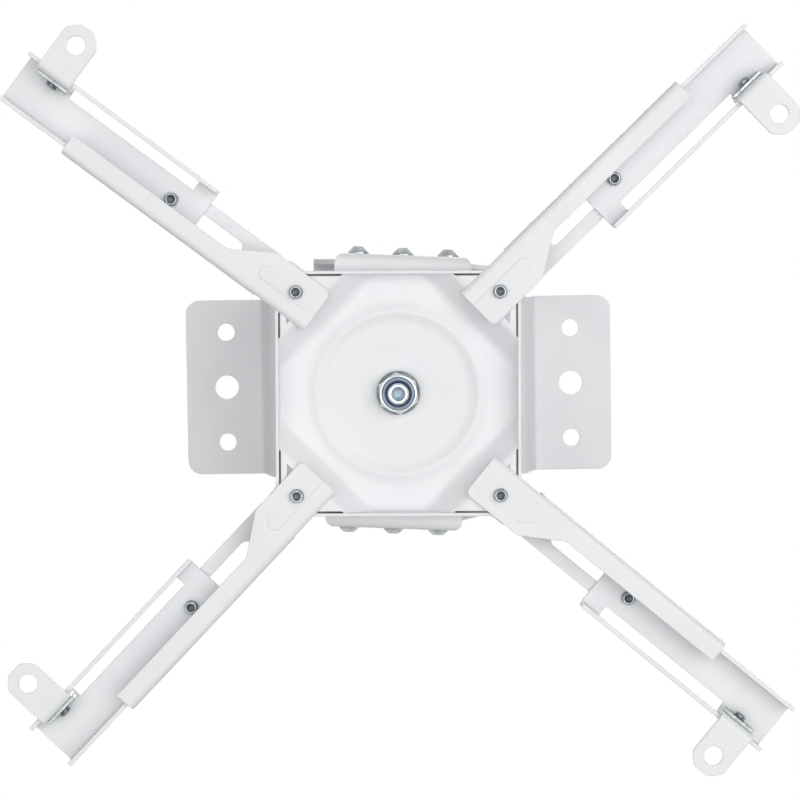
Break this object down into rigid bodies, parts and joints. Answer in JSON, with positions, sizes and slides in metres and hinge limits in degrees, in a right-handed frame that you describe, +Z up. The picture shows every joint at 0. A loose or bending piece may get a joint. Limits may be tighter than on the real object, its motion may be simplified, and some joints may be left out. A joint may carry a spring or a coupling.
{
  "type": "projector ceiling mount",
  "caption": "White folded steel ceiling mount for a projector: hat bracket, tilting double yoke, pressed hub and swinging arms with sliding, slotted channels and drilled feet.",
  "frame": {"origin": "middle of the ceiling hole pattern, on the upper faces of the bracket's flanges", "axes": "+Z up to the ceiling, +X along the bracket's length, +Y along the tilt axis before its turn"},
  "size_m": [0.3645, 0.3466, 0.1138],
  "materials": {
    "white_coat": "fine satin powder coat",
    "zinc": "bright zinc plate",
    "nylon": "blue nylon"
  },
  "bodies": {
    "bracket": {"ceiling_bracket": "white_coat", "hanger_bolt": "zinc", "hanger_washer": "zinc", "hanger_nut": "zinc", "hanger_nylon_ring": "nylon"},
    "hanger": {"hanger": "white_coat", "tilt_pivot_screws": "zinc", "tilt_lock_screws": "zinc", "tilt_nuts": "zinc"},
    "cradle": {"cradle": "white_coat", "hub_bolt": "zinc", "hub_washer": "zinc", "hub_nut": "zinc", "hub_nylon_ring": "nylon"},
    "hub": {"hub": "white_coat"},
    "arm_1": {"arm_1": "white_coat", "arm_pivot_screw_1": "zinc"},
    "slide_1": {"slide_1": "white_coat", "slide_screw_1": "zinc", "slide_washer_1": "zinc"},
    "foot_1": {"foot_1": "white_coat", "foot_screw_1": "zinc", "foot_clamp_1": "zinc"},
    "arm_2": {"arm_2": "white_coat", "arm_pivot_screw_2": "zinc"},
    "slide_2": {"slide_2": "white_coat", "slide_screw_2": "zinc", "slide_washer_2": "zinc"},
    "foot_2": {"foot_2": "white_coat", "foot_screw_2": "zinc", "foot_clamp_2": "zinc"},
    "arm_3": {"arm_3": "white_coat", "arm_pivot_screw_3": "zinc"},
    "slide_3": {"slide_3": "white_coat", "slide_screw_3": "zinc", "slide_washer_3": "zinc"},
    "foot_3": {"foot_3": "white_coat", "foot_screw_3": "zinc", "foot_clamp_3": "zinc"},
    "arm_4": {"arm_4": "white_coat", "arm_pivot_screw_4": "zinc"},
    "slide_4": {"slide_4": "white_coat", "slide_screw_4": "zinc", "slide_washer_4": "zinc"},
    "foot_4": {"foot_4": "white_coat", "foot_screw_4": "zinc", "foot_clamp_4": "zinc"}
  },
  "joints": [
    {"name": "pan", "type": "hinge", "parent": "bracket", "child": "hanger", "pos_m": [0, 0, -0.0302], "axis": [0, 0, 1], "continuous": true},
    {"name": "tilt", "type": "hinge", "parent": "hanger", "child": "cradle", "pos_m": [0, 0, -0.07646], "axis": [-0.0506, 0.9987, 0], "range_deg": [-15, 15]},
    {"name": "swivel", "type": "hinge", "parent": "cradle", "child": "hub", "pos_m": [0, 0, -0.0959], "axis": [0, 0, 1], "continuous": true},
    {"name": "swing_1", "type": "hinge", "parent": "hub", "child": "arm_1", "pos_m": [0.04601, 0.04698, -0.10825], "axis": [0, 0, 1], "range_deg": [-24.4, 20.6]},
    {"name": "extend_1", "type": "slide", "parent": "arm_1", "child": "slide_1", "axis": [0.766, 0.6428, 0], "range_m": [-0.0417, 0.0348]},
    {"name": "foot_slide_1", "type": "slide", "parent": "slide_1", "child": "foot_1", "axis": [0.766, 0.6428, 0], "range_m": [-0.07045, 0.0027]},
    {"name": "swing_2", "type": "hinge", "parent": "hub", "child": "arm_2", "pos_m": [-0.04698, 0.04601, -0.10825], "axis": [0, 0, 1], "range_deg": [-28.4, 16.6]},
    {"name": "extend_2", "type": "slide", "parent": "arm_2", "child": "slide_2", "axis": [-0.6947, 0.7193, 0], "range_m": [-0.037, 0.0395]},
    {"name": "foot_slide_2", "type": "slide", "parent": "slide_2", "child": "foot_2", "axis": [-0.6947, 0.7193, 0], "range_m": [-0.07085, 0.0023]},
    {"name": "swing_3", "type": "hinge", "parent": "hub", "child": "arm_3", "pos_m": [-0.04601, -0.04698, -0.10825], "axis": [0, 0, 1], "range_deg": [-21.6, 23.4]},
    {"name": "extend_3", "type": "slide", "parent": "arm_3", "child": "slide_3", "axis": [-0.7965, -0.6046, 0], "range_m": [-0.0363, 0.0402]},
    {"name": "foot_slide_3", "type": "slide", "parent": "slide_3", "child": "foot_3", "axis": [-0.7965, -0.6046, 0], "range_m": [-0.07055, 0.0026]},
    {"name": "swing_4", "type": "hinge", "parent": "hub", "child": "arm_4", "pos_m": [0.04698, -0.04601, -0.10825], "axis": [0, 0, 1], "range_deg": [-30.8, 14.2]},
    {"name": "extend_4", "type": "slide", "parent": "arm_4", "child": "slide_4", "axis": [0.7242, -0.6896, 0], "range_m": [-0.0385, 0.038]},
    {"name": "foot_slide_4", "type": "slide", "parent": "slide_4", "child": "foot_4", "axis": [0.7242, -0.6896, 0], "range_m": [-0.06875, 0.0044]}
  ]
}
